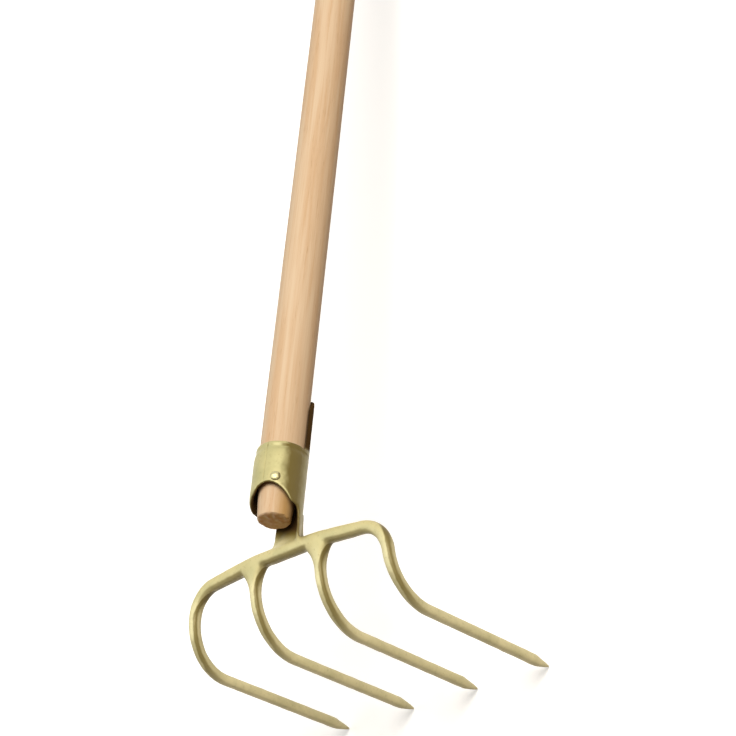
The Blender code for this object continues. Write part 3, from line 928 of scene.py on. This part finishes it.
ON_BARS = (-CROSSBAR_DROP * 0.9, -CROSSBAR_DROP * 1.6)
ON_TINES = (-0.024, -0.046)
# Painted shade on the side turned from the light and on the undersides, and painted reflections that
# lighten the faces turned furthest away
SHADE_EDGES = (0.05, 0.42)
SHADE_WANDER = 0.3
SHADE_REFLECTION_EDGES = (0.72, 1.08)
SHADE_LEFT_BY_REFLECTION = 0.25
TINE_SHADE_SHIFT = 0.60
TINE_REFLECTION_SHIFT = 0.34
UNDERSIDE_EDGES = (0.38, 0.68)
UNDERSIDE_REFLECTION_EDGES = (0.60, 0.92)
UNDERSIDE_SHADE_LEFT = 0.30
UNDERSIDE_SHADE_EASING = 0.55
FRONT_BELOW = (0, 0.80, -0.60)
TINE_SHADE_EASING = 0.82
TINE_SHADE_EASING_REACH = (0.032, 0.075)

# Painted shade inside the socket, along the sheet's cut faces, in the rim's groove and on the strap's edge,
# and a painted shadow down the neck's front
INSIDE_RADII = (SOCKET_RADIUS - 0.0008, SOCKET_RADIUS - 0.0020)
HOLLOW_TOP = (0.040, 0.030)
HOLLOW_BOTTOM = (-0.0060, 0.0010)
SHADOW_LINE_SLOPE = 0.30
NECK_FRONT = (0.50, -0.85, 0)
NECK_FRONT_EDGES = (0.0, 0.5)
NECK_FRONT_REACH = (0.000, 0.003)
NECK_SHADOW_SIDES = (0.034, 0.022)
NECK_SHADOW_TOP = (0.018, 0.008)
NECK_SHADOW_BOTTOM = (-0.0160, -0.0030)
CUT_FACE_EDGES = (0.92, 0.55)
SHEET_EDGE_HEIGHTS = (-0.004, 0.004)
SHEET_EDGE_SHARE = 0.60
BELOW_RIM = (0.045, 0.040)
ABOVE_RIM = (COLLAR_TOP + 0.001, COLLAR_TOP + 0.005)
RIM_LINE_HEIGHT = COLLAR_TOP - RIM_GROOVE_HEIGHT * 0.7
RIM_LINE_WIDTH = (0.0020, 0.0006)
RIM_LINE_EDGES = (-0.15, 0.20)
STRAP_EDGE_HEIGHTS = (COLLAR_TOP - 0.002, COLLAR_TOP + 0.005)
STRAP_EDGE_SIDE = (0, 0.006)
STRAP_EDGE_EDGES = (0.50, 0.80)
CLOUDY_EDGES = (0.40, 0.75)
CLOUDY_SHARE = 0.5
CLOUDY_CROSSBAR = 0.18
CLOUDY_SOCKET = 0.60
SOCKET_HEIGHTS = (0, 0.012)
SPECK_EDGES = (0.58, 0.75)
SPECK_SHARE = 0.20
PAINTED_SHADE_SHARE = 0.96
SHADE_BLACK_SHARE = 0.85


def eased(tree, value, low, high):
    """The value stretched so that low gives 0 and high gives 1, with soft ends."""
    share = ramped(tree, value, low, high)
    share.node.interpolation_type = "SMOOTHSTEP"
    return share


def rest_of(tree, share):
    """What a share leaves of 1."""
    return maths(tree, "SUBTRACT", 1.0, share)


def lightened_by_painted_reflection(tree, share, value, edges, left):
    """A painted shade's share, less where a painted reflection lightens the faces turned furthest away."""
    return times(tree, share, rest_of(tree, times(tree, eased(tree, value, *edges), 1 - left)))


def lacquer_and_painted_shade():
    """A group that gives the lacquer's colour, pale straw clouded to olive with small deep specks, with
    painted shade and painted reflections laid over it.
    """
    tree = bpy.data.node_groups.new("Lacquer and painted shade", "ShaderNodeTree")
    inputs, result = with_sockets(tree, (
        ("Pale", "INPUT", "Color"),
        ("Clouded", "INPUT", "Color"),
        ("Deep", "INPUT", "Color"),
        ("Grain", "INPUT", "Float"),
        ("Colour", "OUTPUT", "Color"),
        ("Unevenness", "OUTPUT", "Float"),
        ("Black shade", "OUTPUT", "Float"),
    ))
    upright = along_the_pole(tree)
    x, y, z = parts_of(tree, upright)
    clouds = noise_of(tree, upright, **CLOUDS)
    specks = noise_of(tree, upright, **SPECKS)
    tree.links.new(inputs["Grain"], specks.node.inputs["Scale"])
    on_bars = eased(tree, z, *ON_BARS)
    on_tines = eased(tree, z, *ON_TINES)

    # Painted shade on the side turned from the light and on the undersides, held back where painted
    # reflections lighten the faces turned furthest away, and eased on the crossbar and along the tines
    facing_shade = facing(tree, SHADED_SIDE)
    wander = times(tree, maths(tree, "SUBTRACT", clouds, CLOUDS_MIDDLE), SHADE_WANDER)
    toward_shade = maths(tree, "ADD", facing_shade, wander, times(tree, on_tines, TINE_SHADE_SHIFT))
    toward_reflection = maths(tree, "ADD", facing_shade, times(tree, on_tines, TINE_REFLECTION_SHIFT))
    side_shade = lightened_by_painted_reflection(tree, eased(tree, toward_shade, *SHADE_EDGES), toward_reflection, SHADE_REFLECTION_EDGES, SHADE_LEFT_BY_REFLECTION)
    under = eased(tree, facing(tree, (0, 0, -1)), *UNDERSIDE_EDGES)
    away = times(tree, facing(tree, FRONT_BELOW), on_bars)
    under = lightened_by_painted_reflection(tree, under, away, UNDERSIDE_REFLECTION_EDGES, UNDERSIDE_SHADE_LEFT)
    under = times(tree, under, rest_of(tree, times(tree, on_bars, UNDERSIDE_SHADE_EASING)))
    shade_eased = times(tree, eased(tree, y, *TINE_SHADE_EASING_REACH), TINE_SHADE_EASING)
    painted_shade = times(tree, maths(tree, "MAXIMUM", side_shade, under), rest_of(tree, shade_eased))

    # Painted shade inside the socket, and a painted shadow of the pole's foot down the front of the neck
    flat = vectors(tree, "MULTIPLY", upright, (1.0, 1.0, 0.0))
    radius = vectors(tree, "LENGTH", flat, (0, 0, 0))
    shadow_line_height = maths(tree, "ADD", z, times(tree, x, SHADOW_LINE_SLOPE))
    # Painted shade inside the socket, strongest low down
    hollow = times(
        tree, eased(tree, radius, *INSIDE_RADII), eased(tree, z, *HOLLOW_TOP),
        eased(tree, shadow_line_height, *HOLLOW_BOTTOM),
    )
    # Painted shadow of the pole's foot down the front of the neck
    neck_shadow = times(
        tree, eased(tree, facing(tree, NECK_FRONT), *NECK_FRONT_EDGES), eased(tree, y, *NECK_FRONT_REACH),
        eased(tree, maths(tree, "ABSOLUTE", x), *NECK_SHADOW_SIDES), eased(tree, z, *NECK_SHADOW_TOP),
        eased(tree, shadow_line_height, *NECK_SHADOW_BOTTOM),
    )

    # Painted shade along the sheet's cut faces, in the rim's groove and down the strap's right edge
    out_along_x = times(tree, facing(tree, (1, 0, 0)), x)
    out_along_y = times(tree, facing(tree, (0, 1, 0)), y)
    out_from_pole = maths(tree, "DIVIDE", maths(tree, "ADD", out_along_x, out_along_y), radius)
    cut_face = eased(tree, out_from_pole, *CUT_FACE_EDGES)
    clear_of_rim = maths(tree, "MAXIMUM", eased(tree, z, *BELOW_RIM), eased(tree, z, *ABOVE_RIM))
    sheet_edge_shade = times(tree, cut_face, eased(tree, z, *SHEET_EDGE_HEIGHTS), clear_of_rim, SHEET_EDGE_SHARE)
    from_groove = maths(tree, "ABSOLUTE", maths(tree, "SUBTRACT", z, RIM_LINE_HEIGHT))
    rim_side = eased(tree, facing_shade, *RIM_LINE_EDGES)
    rim_shade = times(tree, eased(tree, from_groove, *RIM_LINE_WIDTH), rim_side)
    right_face = eased(tree, facing(tree, (1, 0, 0)), *STRAP_EDGE_EDGES)
    right_edge = maths(tree, "MAXIMUM", times(tree, cut_face, eased(tree, x, *STRAP_EDGE_SIDE)), right_face)
    strap_edge_shade = times(tree, eased(tree, z, *STRAP_EDGE_HEIGHTS), right_edge)

    painted_shade = maths(tree, "MAXIMUM", painted_shade, neck_shadow, rim_shade, sheet_edge_shade, hollow, strap_edge_shade)
    cloudy = maths(
        tree, "ADD", times(tree, ramped(tree, clouds, *CLOUDY_EDGES), CLOUDY_SHARE),
        times(tree, maths(tree, "SUBTRACT", on_bars, on_tines), CLOUDY_CROSSBAR),
        times(tree, eased(tree, z, *SOCKET_HEIGHTS), CLOUDY_SOCKET),
    )
    speckled = times(tree, ramped(tree, specks, *SPECK_EDGES), SPECK_SHARE)
    # Nearly black, dull painted shade inside the socket and down the strap's right edge
    near_black_shade = maths(tree, "MAXIMUM", hollow, strap_edge_shade)
    pale_colour = blended(tree, on_tines, inputs["Pale"], TINES_PALE)
    deep_colour = blended(tree, on_tines, inputs["Deep"], TINES_DEEP)
    colour = blended(tree, cloudy, pale_colour, inputs["Clouded"])
    colour = blended(tree, speckled, colour, deep_colour)
    # Painted shade laid over the lacquer's own colour
    colour = blended(tree, times(tree, painted_shade, PAINTED_SHADE_SHARE), colour, deep_colour)
    colour = blended(tree, times(tree, near_black_shade, SHADE_BLACK_SHARE), colour, LACQUER_SHADE_BLACK)
    tree.links.new(colour, result["Colour"])
    tree.links.new(specks, result["Unevenness"])
    tree.links.new(near_black_shade, result["Black shade"])
    return tree


lacquer_and_shade_tree = lacquer_and_painted_shade()


def with_lacquer_and_painted_shade(material, pale_tone, grain, roughness, coat_weight):
    """Gives a material the lacquer and its painted shade, glossy between two roughnesses and dull where the
    painted shade is nearly black.
    """
    material.use_nodes = True
    tree = material.node_tree
    shader = tree.nodes["Principled BSDF"]
    coat = tree.nodes.new("ShaderNodeGroup")
    coat.node_tree = lacquer_and_shade_tree
    for name, colour in (("Pale", pale_tone), ("Clouded", LACQUER_OLIVE), ("Deep", LACQUER_DEEP)):
        coat.inputs[name].default_value = (*colour, 1)
    coat.inputs["Grain"].default_value = grain
    black_shade = coat.outputs["Black shade"]
    unevenness = coat.outputs["Unevenness"]
    dulled = maths(tree, "MAXIMUM", spread(tree, unevenness, *roughness), black_shade)
    tree.links.new(coat.outputs["Colour"], shader.inputs["Base Color"])
    tree.links.new(dulled, shader.inputs["Roughness"])
    tree.links.new(times(tree, rest_of(tree, black_shade), coat_weight), shader.inputs["Coat Weight"])
    tree.links.new(relief(tree, unevenness, LACQUER_RELIEF), shader.inputs["Normal"])
    return shader


shader = with_lacquer_and_painted_shade(lacquer, LACQUER_STRAW, LACQUER_GRAIN, LACQUER_ROUGHNESS, LACQUER_COAT)
shader.inputs["Metallic"].default_value = LACQUER_METALLIC
shader.inputs["Specular IOR Level"].default_value = LACQUER_SPECULAR
shader.inputs["Coat Roughness"].default_value = LACQUER_COAT_ROUGHNESS
head.data.materials.clear()
head.data.materials.append(lacquer)
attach(head, "root")
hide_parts("socket", "outer_tines_and_crossbar", "inner_tine_left", "inner_tine_right")


# Nails
# Two domed nails hold the head on the pole: one through the collar beside its mouth, one through the
# top of the strap. Their heads carry the head's lacquer with its painted shade, and are dented where the
# hammer met them.
NAIL_HEAD_RADIUS = 0.0040
NAIL_HEAD_HEIGHT = 0.0016
NAIL_SHANK_RADIUS = 0.0015
NAIL_POINT_LENGTH = NAIL_SHANK_RADIUS * 3
NAIL_LENGTH = 0.020
NAIL_STAND_OFF = 0.0001
COLLAR_NAIL_HEIGHT = 0.0286
COLLAR_NAIL_TURN = math.radians(39)
STRAP_NAIL_HEIGHT = 0.098
NAIL_SIDES = 64
NAIL_DENTS = 0.00035
NAIL_DENT_MARKS = 420
NAIL_DENT_SINK = 0.3
NAIL_DENT_SHIFT = 900
NAIL_BRIGHT = (0.66, 0.58, 0.32)
NAIL_GRAIN = 700
NAIL_ROUGHNESS = (0.26, 0.42)
NAIL_COAT = 0.30
NAIL_COAT_ROUGHNESS = 0.12
NAIL_METALLIC = 0.45

nail_finish = bpy.data.materials.new("lacquered_nail")
shader = with_lacquer_and_painted_shade(nail_finish, NAIL_BRIGHT, NAIL_GRAIN, NAIL_ROUGHNESS, NAIL_COAT)
shader.inputs["Metallic"].default_value = NAIL_METALLIC
shader.inputs["Coat Roughness"].default_value = NAIL_COAT_ROUGHNESS

nail_profile = arc((0, 0), (NAIL_HEAD_RADIUS, NAIL_HEAD_HEIGHT), 90, 0)
nail_profile += [(NAIL_SHANK_RADIUS, 0), (NAIL_SHANK_RADIUS, NAIL_POINT_LENGTH - NAIL_LENGTH)]
nail_profile += [(0, -NAIL_LENGTH)]
for name, height, turn in (
    ("collar_nail", COLLAR_NAIL_HEIGHT, COLLAR_NAIL_TURN),
    ("strap_nail", STRAP_NAIL_HEIGHT, math.pi),
):
    driven = turned(name + "_driven", nail_profile, NAIL_SIDES)
    own_dents = Vector((height * NAIL_DENT_SHIFT, 0, 0))
    for vertex in driven.data.vertices:
        if vertex.co.z > 0:
            dent = noise.noise(vertex.co * NAIL_DENT_MARKS + own_dents) - NAIL_DENT_SINK
            vertex.co.z += dent * NAIL_DENTS
    outward_way = Vector((math.sin(turn), -math.cos(turn), 0))
    set_in = outward_way.to_track_quat("Z", "Y").to_matrix().to_4x4()
    on_socket = outward_way * (SOCKET_RADIUS + NAIL_STAND_OFF) + Vector((0, 0, height))
    driven.data.transform(lying @ Matrix.Translation(on_socket) @ set_in)
    driven.data.shade_smooth()
    driven.data.materials.append(nail_finish)
    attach(driven, "root")
    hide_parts(name)


# Floor
# A plain white sheet under the tool, which keeps its shadow. Light that bounces off it on to the tool
# is held down, so that the undersides of the bars stay deep, as they are in the photograph.
FLOOR_REACH = 6.0
FLOOR_DROP = 0.0003
FLOOR_WHITE = (0.93, 0.93, 0.93)
FLOOR_ROUGHNESS = 0.9
FLOOR_LIFT = 0.36
FLOOR_BOUNCE = (0.26, 0.22, 0.16)

sheet_mesh = bpy.data.meshes.new("floor")
around = ((-1, -1), (1, -1), (1, 1), (-1, 1))
sheet_corners = [(x * FLOOR_REACH, y * FLOOR_REACH, -FLOOR_DROP) for x, y in around]
sheet_mesh.from_pydata(sheet_corners, [], [(0, 1, 2, 3)])
sheet = placed("floor", sheet_mesh)


def to_eye(tree):
    """1 on rays from the camera, from a gloss or through glass, and 0 on rays that only carry light."""
    ray = tree.nodes.new("ShaderNodeLightPath").outputs
    return maths(tree, "MAXIMUM", ray["Is Camera Ray"], ray["Is Glossy Ray"], ray["Is Transmission Ray"])


paper = bpy.data.materials.new("white_sheet")
paper.use_nodes = True
tree = paper.node_tree
shader = tree.nodes["Principled BSDF"]
shader.inputs["Base Color"].default_value = (*FLOOR_WHITE, 1)
shader.inputs["Roughness"].default_value = FLOOR_ROUGHNESS
shader.inputs["Specular IOR Level"].default_value = 0.0
shader.inputs["Emission Color"].default_value = (1, 1, 1, 1)
shader.inputs["Emission Strength"].default_value = FLOOR_LIFT
dim = tree.nodes.new("ShaderNodeBsdfDiffuse")
dim.inputs["Color"].default_value = (*FLOOR_BOUNCE, 1)
choice = tree.nodes.new("ShaderNodeMixShader")
tree.links.new(to_eye(tree), choice.inputs["Fac"])
tree.links.new(dim.outputs["BSDF"], choice.inputs[1])
tree.links.new(shader.outputs["BSDF"], choice.inputs[2])
tree.links.new(choice.outputs["Shader"], tree.nodes["Material Output"].inputs["Surface"])
sheet_mesh.materials.append(paper)


# Light
# One wide soft light from high on the camera's side, a weaker and cooler one from its left, as in a
# small studio, and a weak warm fill from all round.
KEY_WAY = (0.510, 0.220, 0.832)
KEY_STRENGTH = 2.95
KEY_COLOUR = (1.0, 0.955, 0.89)
SIDE_WAY = (-0.480, 0.069, 0.877)
SIDE_STRENGTH = 0.58
SIDE_COLOUR = (0.70, 0.88, 1.0)
LIGHT_SPREAD = math.radians(40)
FILL_COLOUR = (1.0, 0.66, 0.34)
FILL_STRENGTH = 0.14
BACKDROP_WHITE = (1.0, 1.0, 1.0)
BACKDROP_STRENGTH = 1.0

for name, way, strength, colour in (
    ("key_light", KEY_WAY, KEY_STRENGTH, KEY_COLOUR),
    ("side_light", SIDE_WAY, SIDE_STRENGTH, SIDE_COLOUR),
):
    lamp_data = bpy.data.lights.new(name, "SUN")
    lamp_data.energy = strength
    lamp_data.angle = LIGHT_SPREAD
    lamp_data.color = colour
    lamp = placed(name, lamp_data)
    lamp.rotation_euler = Vector(way).to_track_quat("Z", "Y").to_euler()
surroundings = bpy.data.worlds.new("surroundings")
surroundings.use_nodes = True
tree = surroundings.node_tree
backdrop = tree.nodes["Background"]
seen = to_eye(tree)
tree.links.new(blended(tree, seen, FILL_COLOUR, BACKDROP_WHITE), backdrop.inputs["Color"])
tree.links.new(spread(tree, seen, FILL_STRENGTH, BACKDROP_STRENGTH), backdrop.inputs["Strength"])
bpy.context.scene.world = surroundings


# Camera
# The photograph was taken from below the head's front, to its right, with a long lens. The place and
# the three directions are in the upright tool's own axes.
CAMERA_PLACE = (1.07910, -0.96651, -0.80072)
CAMERA_RIGHT = (0.7313, 0.6777, 0.0774)
CAMERA_UP = (0.3266, -0.4476, 0.8325)
CAMERA_BACK = (0.5988, -0.5835, -0.5486)
CAMERA_LENS = 104.66
CAMERA_SENSOR = 36.0
CAMERA_REACH = (0.05, 30.0)

camera_data = bpy.data.cameras.new("camera")
camera_data.lens = CAMERA_LENS
camera_data.sensor_width = CAMERA_SENSOR
camera_data.clip_start, camera_data.clip_end = CAMERA_REACH
camera = placed("camera", camera_data)
looking = Matrix((CAMERA_RIGHT, CAMERA_UP, CAMERA_BACK)).transposed().to_4x4()
camera.matrix_world = lying @ Matrix.Translation(Vector(CAMERA_PLACE)) @ looking
bpy.context.scene.camera = camera
bpy.context.scene.view_settings.view_transform = "Standard"
